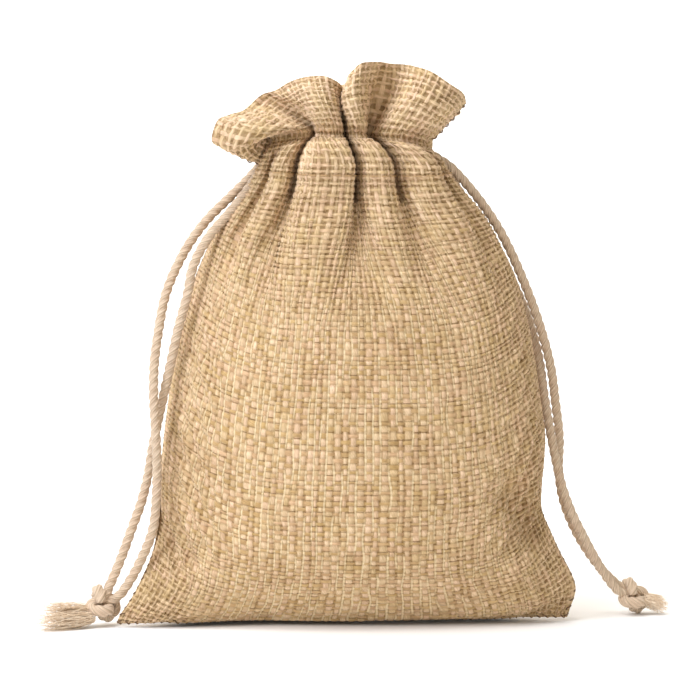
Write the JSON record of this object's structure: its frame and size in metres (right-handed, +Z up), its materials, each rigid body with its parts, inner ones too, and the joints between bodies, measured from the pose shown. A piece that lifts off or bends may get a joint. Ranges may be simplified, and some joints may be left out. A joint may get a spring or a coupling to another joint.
{
  "type": "drawstring pouch",
  "caption": "Woven jute-look cloth pouch, standing filled, with its neck drawn closed by two knotted cords under a gathered ruffle.",
  "frame": {"origin": "on the surface the pouch stands on, under the middle of the filled pouch, with its free cords left out", "axes": "+Z up, -Y out of the front face, +X towards the right-hand cord as seen from the front"},
  "size_m": [0.1781, 0.058, 0.1595],
  "materials": {
    "jute_cloth": "coarse plain weave, matt",
    "seam_thread": "overlocked polyester thread",
    "cotton_cord": "twisted cotton, matt and slightly fuzzy"
  },
  "bodies": {
    "pouch": {"front_panel": "jute_cloth", "back_panel": "jute_cloth", "front_casing": "jute_cloth", "back_casing": "jute_cloth", "left_side_seam": "seam_thread", "right_side_seam": "seam_thread", "bottom_seam": "seam_thread", "front_casing_stitching": "seam_thread", "back_casing_stitching": "seam_thread", "left_cord_loop": "cotton_cord", "right_cord_loop": "cotton_cord"},
    "front_ruffle": {"front_heading": "jute_cloth"},
    "back_ruffle": {"back_heading": "jute_cloth"},
    "left_cord_neck": {"left_front_lead": "cotton_cord", "left_back_lead": "cotton_cord"},
    "left_cord_tail": {"left_front_strand": "cotton_cord", "left_back_strand": "cotton_cord", "left_knot": "cotton_cord", "left_front_end": "cotton_cord", "left_back_end": "cotton_cord"},
    "right_cord_neck": {"right_front_lead": "cotton_cord", "right_back_lead": "cotton_cord"},
    "right_cord_tail": {"right_front_strand": "cotton_cord", "right_back_strand": "cotton_cord", "right_knot": "cotton_cord", "right_front_end": "cotton_cord", "right_back_end": "cotton_cord"}
  },
  "joints": [
    {"name": "left_cord_pull", "type": "slide", "parent": "pouch", "child": "left_cord_neck", "axis": [-1, 0, 0], "range_m": [0, 0.008]},
    {"name": "right_cord_pull", "type": "slide", "parent": "pouch", "child": "right_cord_neck", "axis": [1, 0, 0], "range_m": [0, 0.008]},
    {"name": "left_cord_swing", "type": "hinge", "parent": "left_cord_neck", "child": "left_cord_tail", "pos_m": [-0.0276, 0, 0.1285], "axis": [0, 1, 0], "range_deg": [0, 60]},
    {"name": "right_cord_swing", "type": "hinge", "parent": "right_cord_neck", "child": "right_cord_tail", "pos_m": [0.0276, 0, 0.1306], "axis": [0, -1, 0], "range_deg": [0, 60]},
    {"name": "front_ruffle_open", "type": "hinge", "parent": "pouch", "child": "front_ruffle", "pos_m": [0, -0.013, 0.1393], "axis": [1, 0, 0], "range_deg": [0, 25]},
    {"name": "back_ruffle_open", "type": "hinge", "parent": "pouch", "child": "back_ruffle", "pos_m": [0, 0.013, 0.1393], "axis": [-1, 0, 0], "range_deg": [0, 25]}
  ]
}
